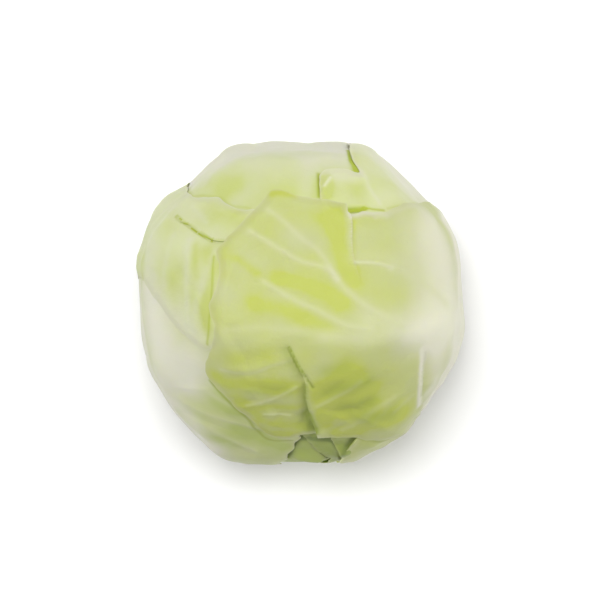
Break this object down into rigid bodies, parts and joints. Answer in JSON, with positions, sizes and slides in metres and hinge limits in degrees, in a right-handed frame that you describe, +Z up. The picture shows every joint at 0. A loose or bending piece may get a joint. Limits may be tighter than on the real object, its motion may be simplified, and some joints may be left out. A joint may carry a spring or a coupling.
{
  "type": "cabbage head",
  "caption": "Round white cabbage head with torn, overlapping wrapper leaves over a dense inner head, standing on its cut stem.",
  "frame": {"origin": "middle of the cut stem's resting face, under the head", "axes": "+Z up from the stem to the crown, +X towards the base of the outermost leaf, -Y towards the side where the inner leaves show"},
  "size_m": [0.1766, 0.175, 0.1513],
  "materials": {
    "stem": "pale, moist cut stem with a faint ring",
    "inner_leaf": "soft green inner leaf, slightly waxy",
    "leaf": "waxy leaf, white at its base and rib, yellow-green towards its edge"
  },
  "bodies": {
    "root": {"stem": "stem", "inner_head": "inner_leaf", "lower_right_leaf": "leaf", "bottom_left_leaf": "leaf", "top_leaf": "leaf", "top_right_leaf": "leaf", "left_leaf": "leaf", "torn_wrapper_leaf": "leaf"}
  },
  "joints": []
}
